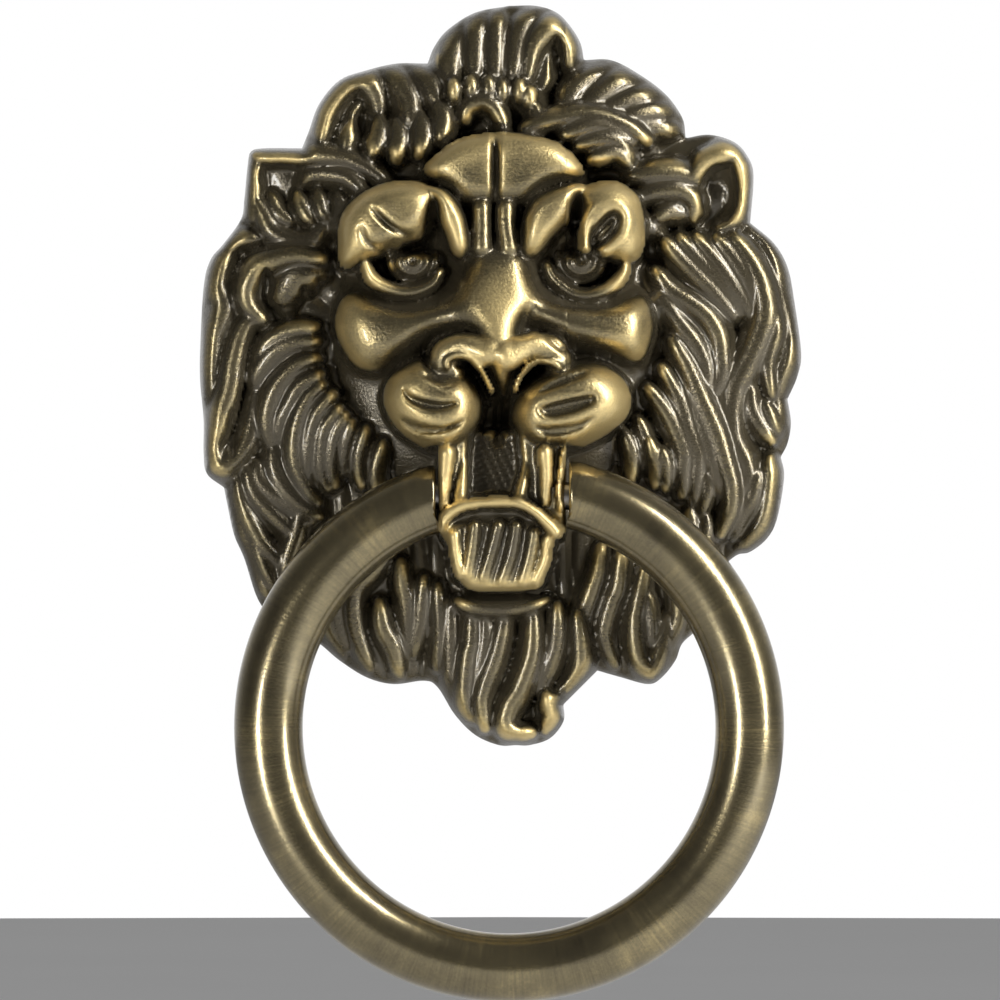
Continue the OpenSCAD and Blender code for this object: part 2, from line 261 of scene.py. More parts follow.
RIGHT_MANE = [
    (1.6, 7.6, 7.4, [(35.5, 22), (38, 20), (39.5, 16.5), (40, 12), (41.5, 8.5), (42, 5), (41, 1.5),
                     (40, -1), (40, -6), (39, -9)]),
    (2.2, 9.8, 9, [(33, 20), (35.5, 16.5), (37, 13), (37.5, 9), (36.5, 5.5), (34.5, 1), (33, -2),
                   (32.5, -6), (33, -9.5), (34.5, -12.5), (35, -15), (34, -17.5)]),
    (1.2, 8.8, 8.4, [(38.5, 11.5), (39, 8.5), (39, 6), (38, 2.5), (38, 0), (38.5, -3)]),
    (1.5, 9.8, 9, [(30.5, 20), (32.5, 17.5), (34.5, 14.5), (35.5, 12), (36.5, 9.5)]),
    (1.5, 10.4, 9, [(27.5, 20), (30, 17), (32.5, 13.5), (34.5, 10.5), (35.5, 8.5)]),
    (1.5, 10.8, 9, [(25, 20), (27.5, 17), (30, 14.5), (32, 12), (34, 9)]),
    (1.5, 11.2, 9.4, [(23, 19.5), (25, 17), (27.5, 14.5), (30, 12), (33, 8.5)]),
    (1.7, 11.4, 9.4, [(21.5, 15), (23.5, 12.5), (26.5, 10.5), (29, 8.5), (30.5, 6), (31, 3),
                      (31, 0), (29, -5)]),
    (1.5, 11.4, 9.8, [(22, 11.5), (24.5, 8), (27, 5), (28.5, 2), (29, -1), (29, -4)]),
    (1.8, 11.6, 9.2, [(24, 5), (26, 1.5), (27.5, -2), (29, -5.5), (30.5, -9), (31.5, -12.5),
                      (32.5, -16), (32.5, -19.5), (31, -23)]),
    (1.5, 11.6, 9.4, [(20.5, -2), (23, -5.5), (24.5, -8.5), (25.5, -11.5), (25.5, -14.5),
                      (25.5, -17.5)]),
    (1.5, 11.4, 9.2, [(22.5, 1), (25, -4), (26, -7.5), (27.5, -11.5), (27.5, -15), (27, -18.5)]),
    (1.4, 10.8, 9.2, [(26, -2), (27.5, -5.5), (28.5, -8.5), (29.5, -12), (31, -17.5)]),
    (1.1, 11.2, 9.8, [(20.5, -9.5), (21.5, -13), (21.5, -16)]),
    (1.1, 10.8, 9.6, [(22.5, -11), (23, -13.5), (23, -16.5)]),
    (1.2, 9.4, 8.6, [(29, -14.5), (29, -17.5), (28, -20.5)]),
    (1.5, 8.8, 8.2, [(35.5, -1.5), (35.5, -4.5), (36.5, -7), (38.5, -9.5)]),
    (1.1, 8.2, 7.8, [(37.5, -4), (38.5, -6.5), (39.5, -8)]),
    (2.0, 8.6, 7.4, [(38.5, -12.5), (38.5, -16), (38, -20), (36.5, -23), (34, -25.5)]),
    (1.5, 8.8, 7.6, [(36.5, -14.5), (35.5, -18), (34, -20.5), (33, -23.5)]),
    (1.5, 9.4, 8.8, [(31, -2), (31, -5), (32, -8), (33, -11.5), (34.5, -14)]),
    (1.2, 10.8, 9.6, [(19, -6.5), (20, -9.5), (20, -13)]),
    (1.2, 10.8, 9.6, [(17, -8.5), (18, -11.5), (18, -15)]),
    (1.5, 8.8, 7.2, [(29, -21), (28.5, -25.5), (27.5, -30), (26.5, -34)]),
    (1.5, 9, 7.4, [(26.5, -20), (27, -25), (26, -30), (25, -34.5)]),
]
BEARD = [
    (1.7, 9.2, 6.8, [(-17.5, -25), (-18.5, -27), (-20.5, -29), (-22.5, -31), (-23, -33.5),
                     (-22.5, -37.5), (-20.5, -43)]),
    (1.6, 9, 7, [(-19, -33.5), (-18.5, -37), (-17, -40), (-16, -44)]),
    (1.5, 9.6, 7, [(-16, -27.5), (-15.5, -31), (-15, -33.5), (-14.5, -41)]),
    (1.4, 9.4, 7.2, [(-12.5, -30), (-13, -36), (-14, -41)]),
    (1.6, 8.6, 6.6, [(-26, -24), (-27, -31.5), (-26, -37.5), (-24.5, -41)]),
    (1.5, 8.8, 6.8, [(-22.5, -24), (-24.5, -30), (-25.5, -34.5), (-24, -40)]),
    (1.4, 9.6, 7.6, [(-10.5, -31), (-10, -37.5), (-10.5, -43)]),
    (1.4, 9.5, 7.6, [(-8.5, -33.5), (-8.5, -39), (-8.5, -43), (-8.5, -47.5)]),
    (1.4, 10.5, 8.6, [(-5.5, -34), (-5.5, -39), (-6, -41), (-6.5, -46), (-6.5, -49), (-5, -50.5)]),
    (1.2, 10.6, 8.8, [(-3.5, -34.5), (-3.5, -39), (-4.5, -44), (-5, -47.5)]),
    (1.5, 11, 9.2, [(-0.5, -34), (-1, -37.5), (-2, -41.5), (-3.5, -45.5), (-4, -48), (-3.5, -51.5)]),
    (1.6, 11.2, 9.4, [(3.5, -34.5), (3.5, -39), (3, -42), (1.5, -46), (0, -48.5), (-0.5, -51),
                      (1, -52.5), (3, -52.5)]),
    (1.4, 10.6, 8.6, [(7, -34), (7, -38), (6.5, -41), (4.5, -46)]),
    (1.5, 9.8, 8, [(10, -35), (10.5, -39.5), (10.5, -42.5), (9.5, -45), (7.5, -46.5)]),
    (1.5, 10.3, 8.6, [(5.5, -47), (6.5, -49.5), (5.5, -52)]),
    (1.5, 9.6, 7.6, [(13.5, -25.5), (13, -29), (12, -32), (11, -35), (10.5, -39), (11, -42.5)]),
    (1.5, 9.4, 7.2, [(16.5, -26), (16, -31), (15, -33.5), (14, -38), (15.5, -42.5)]),
    (1.5, 8.8, 6.8, [(20, -28), (19, -33), (18.5, -36.5), (19, -41), (21, -43.5), (22.5, -39.5),
                     (23.5, -35)]),
    (0.9, 8, 7, [(20.5, -32), (21, -36), (21, -39.5)]),
    (1.4, 8.6, 6.8, [(23, -24), (24.5, -30), (25, -34.5), (24, -39.5)]),
    (1.4, 8.2, 6.8, [(26.5, -25), (27.5, -31), (27.5, -36), (26.5, -38.5)]),
]
# Each eye: centre x and z, and the lid under it
EYES = [
    (-14, 16.5, [(-21, 16.5), (-20, 14), (-17.5, 12.5), (-14.5, 12), (-11.5, 13), (-10, 15)]),
    (10.5, 16.5, [(5.5, 16), (6.5, 14), (9, 12), (11.5, 11.5), (14.5, 12.5), (16.5, 14.5),
                  (17, 16)]),
]
# Bars with a half-round back, given as the strands are
NOSTRIL_RIMS = [
    (0.45, 22.9, 23.9, [(-9, 1), (-9, 2), (-7.5, 2.7), (-6, 2.3), (-4.5, 1), (-3.2, -1),
                        (-2.5, -2.5)]),
    (0.45, 23.9, 23.1, [(0.8, -2.5), (1.5, -0.7), (2.8, 1), (4.5, 1.8), (6.3, 1.6), (7.3, 1)]),
]
# The open mouth, of such bars too
LOWER_LIP = (0.95, 24.2, 24.2, [(-10, -22), (-9, -20.5), (-7, -19.3), (-4, -18.7), (-0.5, -18.6),
                                (2, -19), (4, -20.2), (6, -22), (7, -23.2)])
TEETH = [
    (1.3, 23.6, 22.2, [(-9, -11.5), (-9.2, -14.6), (-9.4, -18.6)]),
    (1.3, 23.6, 22.2, [(5.2, -11.5), (5.4, -14.6), (5.2, -18.6)]),
]
LOW_TEETH = [(1.15, 20.4, 22.8, [(-6.4, -12.6), (-6.7, -15), (-7, -18.2)]),
             (1.15, 20.4, 22.8, [(2.4, -12.8), (2, -15.4), (1.5, -18.2)])]
MOUTH_SIDES = [(0.4, 23.4, 23.0, [(-10, -11.5), (-10, -15.5), (-10, -19.5)]),
               (0.4, 23.4, 23.0, [(8, -11), (7.5, -14), (7.2, -17), (7.5, -19.5)])]
TONGUE = [
    (0.95, 22.2, 21.2, [(-8, -23.5), (-7.8, -26.5), (-7.2, -29)]),
    (0.95, 22.6, 21.4, [(-5, -22), (-5.4, -25.5), (-6, -29)]),
    (0.95, 22.8, 21.4, [(-1.6, -22), (-2.5, -25.5), (-3.7, -29.5)]),
    (0.95, 22.8, 21.4, [(1, -22), (0.3, -26), (-1, -30)]),
    (0.95, 22.6, 21.4, [(3.6, -23), (3, -26.5), (2, -30)]),
    (0.95, 22.2, 21.2, [(5.7, -24), (5.3, -27), (4, -30)]),
]
# The chin, given as the forms of the face are
CHIN = (9, 20.8, 0.35, 0.2, 0, 0.06, [
    (-9.5, -21), (-9, -25.5), (-8, -29), (-6, -31.5), (-1.5, -32), (4, -31.5), (5.5, -29.5),
    (6, -26), (7, -21)])
UNDER_CHIN = (5, 11.6, 1.0, 0.8, 0, 0, [
    (-8, -32), (-1.5, -32), (6, -32), (5.5, -34.5), (1.5, -36), (-4.5, -36), (-8, -34.5)])
# Sunken lines: half width, depth, points
CUTS = [
    (0.75, 1.9, [(-2, 35), (-2, 31.5), (-2, 28.5), (-2, 25)]),
    (0.65, 1.3, [(-20, 24), (-18, 22), (-16.5, 21), (-14.5, 20)]),
    (0.6, 1.0, [(-21.5, 21), (-20.5, 19), (-18.5, 18)]),
    (0.9, 2.2, [(-11, 24.5), (-11.5, 22), (-12, 20), (-12, 18)]),
    (0.9, 2.2, [(10, 26), (9.5, 23.5), (10, 20.5), (10, 17.5)]),
    (0.4, -0.7, [(12, 19), (14, 21), (15.5, 22.5)]),
    (0.9, 2.0, [(-1.5, -3.5), (-1.5, -6), (-1.5, -10)]),
    (0.5, 0.8, [(-13, 0), (-11.5, -0.5), (-9, -1.5)]),
    (0.6, 1.2, [(4.5, 6.5), (6.5, 4.5), (8, 3.5), (12, 3), (18.5, 1.5)]),
    (0.7, 1.3, [(-5, 6), (-8, 6), (-10.5, 5.5), (-12, 4), (-12, 1.5), (-10.5, -0.5)]),
    (1.2, 1.2, [(3, 9.5), (2, 7.5), (2, 6), (4, 6.5)]),
]
# Hollows: centre x, z, half width, half height, floor
HOLLOWS = [
    (-33.5, 29, 3.4, 2.2, 5.4), (31, 26.5, 2.9, 4.4, 5.6), (-35.5, 13, 0.9, 2.6, 6.4),
    (7, 46, 1.0, 3.4, 6.2), (-40.5, -8.5, 0.7, 3.5, 6.6), (-21.5, 37, 1.3, 2.2, 5.8),
    (-30, 11.5, 0.5, 1.6, 7.4),
]
# Beads along the foot of the crest: the size, foot and rise of each, and their middles
BEAD_HALF_WIDTH, BEAD_HALF_HEIGHT, BEAD_FOOT, BEAD_RISE = 1.35, 2.2, 10.0, 1.9
BEADS = [(-8, 41.5), (-5.5, 42), (-3, 42), (-1, 41.5), (1.5, 41.5), (3, 40.5), (4, 38)]


def smooth_curve(points, steps=8):
    """Points along a curve that passes through the given ones."""
    p = np.array(points, float)
    ends = np.vstack([2 * p[0] - p[1], p, 2 * p[-1] - p[-2]])
    t = np.linspace(0, 1, steps, endpoint=False)[:, None]
    run = []
    for a, b, c, d in zip(ends, ends[1:], ends[2:], ends[3:]):
        run.append(0.5 * (2 * b + (c - a) * t + (2 * a - 5 * b + 4 * c - d) * t ** 2
                          + (3 * b - a - 3 * c + d) * t ** 3))
    return np.vstack(run + [p[-1:]])


def edge_curve():
    """The casting's edge as one closed run of points, with its notches kept sharp."""
    starts = [curve[-1] for curve in EDGE[-1:] + EDGE[:-1]]
    return np.vstack([smooth_curve([start, *curve], 6)[:-1] for start, curve in zip(starts, EDGE)])


def nearest(x, z, line):
    """How far each point is from a run of points, how far along it, and the nearest place."""
    best = np.full(x.shape, 1e9)
    along, to_x, to_z = np.zeros(x.shape), x.copy(), z.copy()
    lengths = np.hypot(*np.diff(line, axis=0).T)
    walked = np.concatenate([[0], np.cumsum(lengths)])
    for i, (a, b) in enumerate(zip(line, line[1:])):
        d = b - a
        t = np.clip(((x - a[0]) * d[0] + (z - a[1]) * d[1]) / max(d @ d, 1e-9), 0, 1)
        px, pz = a[0] + t * d[0], a[1] + t * d[1]
        gap = np.hypot(x - px, z - pz)
        closer = gap < best
        best[closer] = gap[closer]
        along[closer] = ((walked[i] + t * lengths[i]) / walked[-1])[closer]
        to_x[closer], to_z[closer] = px[closer], pz[closer]
    return best, along, (to_x, to_z)


def near_box(x, z, line, margin):
    """Which points lie within a margin of a run's box."""
    low, high = line.min(axis=0) - margin, line.max(axis=0) + margin
    return (x > low[0]) & (x < high[0]) & (z > low[1]) & (z < high[1])


def blend_up(a, b, soft):
    """The higher of two heights, with the corner between them rounded."""
    mix = np.clip(0.5 + 0.5 * (b - a) / soft, 0, 1)
    return a * (1 - mix) + b * mix + soft * mix * (1 - mix)


def oval(x, z, cx, cz, rx, rz, middle=1.0):
    """How far inside an oval each point lies, 0 at its edge and outside."""
    return np.clip(middle - ((x - cx) / rx) ** 2 - ((z - cz) / rz) ** 2, 0, 1)


def spot(x, z, cx, cz, rx, rz, power=2):
    """A soft oval spot, 1 in its middle and fading round it."""
    return np.exp(-((x - cx) / rx) ** power - ((z - cz) / rz) ** power)


def add_dome(h, x, z, dome):
    """Raises an oval dome of the skull."""
    cx, cz, rx, rz, foot, top, soft = dome
    inside = oval(x, z, cx, cz, rx, rz)
    crown = foot + (top - foot) * inside ** 0.6
    return np.where(inside > 0, blend_up(h, crown, soft), h)


def closed_curve(points, steps=5):
    """Points round a closed curve that passes through the given ones."""
    p = np.array(points, float)
    return smooth_curve([p[-1], *p, p[0], p[1]], steps)[steps:-steps - 1]


def depth_inside(x, z, outline):
    """How deep each point lies inside an outline, rounded over in the middle."""
    total = np.zeros(x.shape)
    for a, b in zip(outline, np.roll(outline, -1, axis=0)):
        d = b - a
        size = math.hypot(*d)
        along = ((x - a[0]) * d[0] + (z - a[1]) * d[1]) / size
        left = size - along
        off = (((x - a[0]) * d[1] - (z - a[1]) * d[0]) / size) ** 2 + 1e-4
        total += (along / np.sqrt(along ** 2 + off) + left / np.sqrt(left ** 2 + off)) / off
    return np.where(inside_edge(x, z, outline), np.sqrt(2 / total), 0)


def add_patch(h, x, z, patch):
    """Raises a rounded form inside its outline."""
    foot, top, roll, soft, right, up, points = patch
    outline = closed_curve(points)
    middle = outline.mean(axis=0)
    at = near_box(x, z, outline, 0)
    px, pz = x[at], z[at]
    deep = depth_inside(px, pz, outline)
    share = np.clip(deep / (deep.max() * roll), 0, 1)
    lean = right * (px - middle[0]) + up * (pz - middle[1])
    crown = foot + (top + lean - foot) * np.sqrt(1 - (1 - share) ** 2)
    h[at] = np.where(deep > 0, blend_up(h[at], crown, soft), h[at])


def sink_patch(h, x, z, patch):
    """Sinks a hollow inside its outline."""
    depth, slope, points = patch
    outline = closed_curve(points)
    at = near_box(x, z, outline, 0)
    deep = depth_inside(x[at], z[at], outline)
    share = np.clip(deep / (deep.max() * slope), 0, 1)
    h[at] -= depth * share ** 2 * (3 - 2 * share)


def follow(x, z, points, margin):
    """Which points lie near a curve, how far each of those is from it, and how far along."""
    line = smooth_curve(points)
    at = near_box(x, z, line, margin)
    gap, along, _ = nearest(x[at], z[at], line)
    return at, gap, along


def add_strand(h, x, z, strand, drop=0.62, bow=2.4, reach=1.7):
    """Lays a rounded strand over the surface, thinner at its ends."""
    half, start, end, points = strand
    at, gap, along = follow(x, z, points, half * reach)
    taper = np.sqrt(np.clip(np.sin(np.pi * along), 0, 1))
    across = gap / (half * (0.6 + 0.4 * taper))
    crown = start + (end - start) * along - half * (drop * across ** bow + 0.4 * (1 - taper))
    h[at] = np.where(across < reach, np.maximum(h[at], crown), h[at])


def add_bar(h, x, z, bar, root=1.0, tip=1.0):
    """Lays a bar with a half-round back, as wide at its root and tip as the shares given."""
    half, start, end, points = bar
    at, gap, along = follow(x, z, points, half)
    width = half * (root + (tip - root) * along)
    round_back = np.sqrt(np.clip(1 - (gap / width) ** 2, 0, 1))
    crown = start + (end - start) * along - width * (1 - round_back)
    h[at] = np.where(gap < width, np.maximum(h[at], crown), h[at])


def add_fold(h, x, z, fold):
    """Raises a thick soft fold that melts into the surface."""
    half, start, end, soft, points = fold
    at, gap, along = follow(x, z, points, half)
    inside = np.clip(1 - (gap / half) ** 2, 0, 1)
    crown = start + (end - start) * along - half * 1.2 * (1 - inside ** 0.5)
    h[at] = np.where(inside > 0, blend_up(h[at], crown, soft), h[at])


def add_cut(h, x, z, cut):
    """Sinks a soft line into the surface."""
    half, depth, points = cut
    at, gap, along = follow(x, z, points, half)
    fade = np.sqrt(np.clip(np.sin(np.pi * (0.05 + 0.9 * along)), 0, 1))
    h[at] -= depth * fade * np.clip(1 - (gap / half) ** 2, 0, 1) ** 1.2


def add_eye(h, x, z, eye):
    """The eyeball with its iris and pupil, over a thick lower lid."""
    cx, cz, lid = eye
    socket, bulge, lid_half, lid_top = 13.5, 3.6, 1.15, 17.2
    under_brow = np.clip((cz + 1.6 - z) / 1.2, 0, 1)
    ball = oval(x, z, cx, cz, 4.0, 3.4) * under_brow
    dome = socket + bulge * np.sqrt(ball)
    off = np.hypot(x - cx, (z - cz) * 1.1)
    # the edge of the iris, the edge of the pupil and the pupil: radius, width, depth
    for radius, width, depth in ((2.9, 0.4, 0.9), (1.5, 0.3, 0.5), (0, 0.6, 1.4)):
        dome -= depth * np.exp(-((off - radius) / width) ** 2)
    np.maximum(h, dome, out=h, where=ball > 0)
    add_strand(h, x, z, (lid_half, lid_top, lid_top, lid), drop=1.0, bow=2.2, reach=1.2)


def add_mouth(h, x, z):
    """The open jaw between the ring's two ends, and the chin under it."""
    lips, jaw_top, jaw_foot, grain = 20.4, -8, -23, 0.09
    across = np.abs(x - JAW_MID / MM)
    h[(across < JAW_HALF / MM) & (z < jaw_top) & (z > jaw_foot)] = lips
    # the palate is a rough field between the teeth, narrower above
    palate = np.clip((4.4 - 0.1 * (z + 14) - np.abs(x + 2.2)) / 0.9, 0, 1)
    palate = palate * np.clip((z + 18.3) / 0.5, 0, 1) * (z < jaw_top)
    waves = ((5.1, 2.3), (-3.1, 6.7), (7.9, -4.3))
    rough = sum(grain * np.sin(a * x + b * z + a) for a, b in waves)
    h -= palate * (3.6 + 0.1 * (z + 18) + rough)
    add_patch(h, x, z, UNDER_CHIN)
    add_patch(h, x, z, CHIN)
    for ridge in TONGUE:
        add_bar(h, x, z, ridge)
    for tooth in TEETH:
        add_bar(h, x, z, tooth, tip=0.55)
    for tooth in LOW_TEETH:
        add_bar(h, x, z, tooth, root=0.4)
    for bar in (*MOUTH_SIDES, LOWER_LIP):
        add_bar(h, x, z, bar)


def ring_room(x, z):
    """The highest the casting may be where the ring hangs over it."""
    air, under, lean, slope, free, jaw_foot = 0.6, 0.9, 0.19, 2.2, 60, -10.5
    drop = np.clip(PIVOT_Z / MM - z, 0, None)
    gap = np.hypot(x, z - RING_Z / MM)
    inner, outer = (RING_R - BAR_R) / MM - air, (RING_R + BAR_R) / MM + air
    room = -RING_Y / MM - BAR_R / MM - under - lean * drop
    room = room + slope * np.clip(inner - gap, 0, None) + slope * np.clip(gap - outer, 0, None)
    beside = np.abs(x - JAW_MID / MM) > JAW_HALF / MM + 0.02
    return np.where(beside & (z < jaw_foot), room, free)


def underhair(x, z):
    """Fine locks that show between the main strands: fanned out above, hanging below."""
    fan_locks, hang_rate, height = 44, 2.3, 0.9
    fan = fan_locks * np.arctan2(z + 4, x + 1.5) + 0.25 * np.hypot(x, z)
    hang = hang_rate * x + 0.9 * np.sin(0.22 * z + 0.1 * x)
    below = 1 / (1 + np.exp(np.clip((z + 16) / 3, -30, 30)))
    fanned, hung = (np.abs(np.cos(turn / 2)) ** 0.7 for turn in (fan, hang))
    outer = np.clip((np.hypot((x + 1) / 24, (z - 4) / 26) - 0.85) / 0.25, 0, 1)
    return height * outer * (fanned * (1 - below) + hung * below)


def relief(x, z):
    """Height of the casting's front above the door, in millimetres, over a grid."""
    ground, swell = 4.2, 2.6
    far = np.hypot((x + 1) / 45, z / 54)
    h = ground + swell * np.clip(1.0 - far, 0, 1) + underhair(x, z)
    for dome in SKULL:
        h = add_dome(h, x, z, dome)
    for strand in LEFT_MANE + RIGHT_MANE + BEARD + EARS + TUFTS + CREST:
        add_strand(h, x, z, strand)
    for x0, z0 in BEADS:
        bead = oval(x, z, x0, z0, BEAD_HALF_WIDTH, BEAD_HALF_HEIGHT)
        h = np.where(bead > 0, np.maximum(h, BEAD_FOOT + BEAD_RISE * np.sqrt(bead)), h)
    for cx, cz, rx, rz, floor in HOLLOWS:
        pit = oval(x, z, cx, cz, rx, rz, 1.15)
        h = h * (1 - pit) + np.minimum(h, floor) * pit
    for patch in (*CHEEKS, NOSE):
        add_patch(h, x, z, patch)
    for patch in SOCKETS:
        sink_patch(h, x, z, patch)
    soft = oval(x, z, -1, 9, 22, 12, 1.6)
    h = h * (1 - soft) + blur(h, 4) * soft
    add_patch(h, x, z, FOREHEAD)
    for eye in EYES:
        add_eye(h, x, z, eye)
    for patch in BROWS:
        add_patch(h, x, z, patch)
    add_mouth(h, x, z)
    for patch in PADS:
        add_patch(h, x, z, patch)
    for fold in FOLDS:
        add_fold(h, x, z, fold)
    for patch in POCKETS:
        sink_patch(h, x, z, patch)
    for cut in CUTS:
        add_cut(h, x, z, cut)
    for rim in NOSTRIL_RIMS:
        add_bar(h, x, z, rim)
    return np.minimum(h, ring_room(x, z))


def blur(grid, reach):
    """A grid averaged over a square, twice, so that it is nearly round."""
    for _ in range(2):
        for axis in (0, 1):
            pad = [(reach + 1, reach) if k == axis else (0, 0) for k in (0, 1)]
            total = np.cumsum(np.pad(grid, pad, mode="edge"), axis=axis)
            size = grid.shape[axis]
            high = np.take(total, range(2 * reach + 1, 2 * reach + 1 + size), axis=axis)
            grid = (high - np.take(total, range(size), axis=axis)) / (2 * reach + 1)
    return grid


def rubbed(h, x, z):
    """How far the patina is rubbed off: least in hollows and eyes, most on crests and the nose."""
    fine, broad = h - blur(h, 3), h - blur(h, 12)
    raised = np.clip((h - 14) / 5.5, 0, 1)
    nose = spot(x, z, -1, 9, 4.5, 7.5)
    brow = spot(x, z, -0.5, 30, 12, 5, 4)
    eyes = sum(spot(x, z, cx, 15, 5.5, 3.8) for cx, _, _ in EYES)
    chin = spot(x, z, -1.5, -25.5, 7, 6, 4)
    wear = 0.19 + (0.7 - 0.5 * raised) * fine + 0.09 * broad + 0.22 * raised
    wear += 0.38 * nose + 0.14 * brow - 0.22 * eyes - 0.22 * chin
    return np.clip(wear, 0, 1)


def spaced(low, high, step, extra=()):
    """Grid lines at an even step, with extra ones where the relief has a wall."""
    room = 0.05
    lines = np.linspace(low, high, math.ceil((high - low) / step) + 1)
    for line in extra:
        lines = np.append(lines[abs(lines - line) > room], line)
    return np.sort(lines)


def inside_edge(x, z, edge):
    """Which points lie inside the casting's edge."""
    inside = np.zeros(x.shape, bool)
    for a, b in zip(edge, np.roll(edge, -1, axis=0)):
        if a[1] == b[1]:
            continue
        crosses = (a[1] > z) != (b[1] > z)
        inside ^= crosses & (x < a[0] + (b[0] - a[0]) * (z - a[1]) / (b[1] - a[1]))
    return inside


def new_piece(name, bm, body, material, stands_for):
    """Turns a bmesh into a finished piece that rides on a body."""
    mesh = bpy.data.meshes.new(name)
    bm.to_mesh(mesh)
    bm.free()
    mesh.polygons.foreach_set("use_smooth", [True] * len(mesh.polygons))
    piece = bpy.data.objects.new(name, mesh)
    bpy.context.scene.collection.objects.link(piece)
    mesh.materials.append(material)
    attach(piece, body)
    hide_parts(*stands_for)
    return piece


def sharpen(piece, degrees):
    """Keeps the edges crisp where two faces meet at more than this angle."""
    bm = bmesh.new()
    bm.from_mesh(piece.data)
    for edge in bm.edges:
        edge.smooth = len(edge.link_faces) == 2 and edge.calc_face_angle() < math.radians(degrees)
    bm.to_mesh(piece.data)
    bm.free()


def add_node(tree, kind, **values):
    """A shader node with its settings."""
    node = tree.nodes.new(kind)
    for name, value in values.items():
        setattr(node, name, value)
    return node


def add_noise(tree, place, scale, detail=4.0, stretch=None, rough=0.55):
    """Noise over a coordinate, with an optional stretch."""
    noise = add_node(tree, "ShaderNodeTexNoise")
    noise.inputs["Scale"].default_value = scale
    noise.inputs["Detail"].default_value = detail
    noise.inputs["Roughness"].default_value = rough
    if stretch:
        mapping = add_node(tree, "ShaderNodeMapping")
        mapping.inputs["Scale"].default_value = stretch
        tree.links.new(place, mapping.inputs["Vector"])
        place = mapping.outputs["Vector"]
    tree.links.new(place, noise.inputs["Vector"])
    return noise.outputs["Fac"]


def add_math(tree, operation, a, b, c=None):
    """A sum on sockets or numbers."""
    node = add_node(tree, "ShaderNodeMath", operation=operation)
    for socket, value in zip(node.inputs, (a, b, c)):
        if isinstance(value, (int, float)):
            socket.default_value = value
        elif value is not None:
            tree.links.new(value, socket)
    return node.outputs[0]


def add_shade(tree, base, noise, amount):
    """A base value made lighter and darker by noise."""
    below = add_math(tree, "SUBTRACT", base, amount / 2)
    return add_math(tree, "MULTIPLY_ADD", noise, amount, below)


def add_ramp(tree, factor, stops):
    """Colours or greys along a factor."""
    ramp = add_node(tree, "ShaderNodeValToRGB")
    while len(ramp.color_ramp.elements) < len(stops):
        ramp.color_ramp.elements.new(0.5)
    for element, (position, colour) in zip(ramp.color_ramp.elements, stops):
        element.position = position
        element.color = (*np.broadcast_to(colour, 3), 1)
    tree.links.new(factor, ramp.inputs["Fac"])
    return ramp.outputs["Color"]


def add_bump(tree, height, strength, depth, below=None):
    """Fine relief in the shading."""
    bump = add_node(tree, "ShaderNodeBump")
    bump.inputs["Strength"].default_value = strength
    bump.inputs["Distance"].default_value = depth
    tree.links.new(height, bump.inputs["Height"])
    if below is not None:
        tree.links.new(below, bump.inputs["Normal"])
    return bump.outputs["Normal"]


def start_material(name):
    """A new material with its shader and the object's coordinates."""
    material = bpy.data.materials.new(name)
    material.use_nodes = True
    tree = material.node_tree
    shader = tree.nodes["Principled BSDF"]
    place = add_node(tree, "ShaderNodeTexCoord").outputs["Object"]
    return material, tree, shader, place


def brass_colours(finish):
    """The stops from dark patina in the hollows to rubbed brass on the crests."""
    dark, middle, bright = finish.patina, finish.bronze, finish.brass
    deep = tuple(0.8 * c for c in dark)
    satin = tuple(0.45 * a + 0.55 * b for a, b in zip(middle, bright))
    return [(0.0, deep), (0.34, tuple(dark)), (0.54, tuple(middle)), (0.72, satin),
            (0.92, tuple(bright))]


def cast_brass(finish):
    """Antique brass plate on the casting, darkened in the hollows and rubbed on the crests."""
    material, tree, shader, place = start_material("cast_brass")
    wear = add_node(tree, "ShaderNodeAttribute", attribute_name="wear").outputs["Fac"]
    cloud = add_noise(tree, place, 160, 5)
    grain = add_noise(tree, place, 2600, 3)
    brush = add_noise(tree, place, 1, 3, (420, 420, 3800))
    shade = wear
    for noise, amount in ((cloud, 0.34), (grain, 0.3), (brush, 0.16)):
        shade = add_shade(tree, shade, noise, amount)
    tree.links.new(add_ramp(tree, shade, brass_colours(finish)), shader.inputs["Base Color"])
    rough = add_ramp(tree, shade, [(0.2, 0.24), (0.55, 0.3), (0.85, 0.48)])
    tree.links.new(rough, shader.inputs["Roughness"])
    bare = add_ramp(tree, shade, [(0.1, 0.5), (0.55, 0.95)])
    tree.links.new(bare, shader.inputs["Metallic"])
    shader.inputs["Coat Weight"].default_value = 0.3
    shader.inputs["Coat Roughness"].default_value = 0.08
    normal = add_bump(tree, grain, 0.5, 0.00015)
    normal = add_bump(tree, brush, 0.25, 0.0001, normal)
    tree.links.new(normal, shader.inputs["Normal"])
    return material


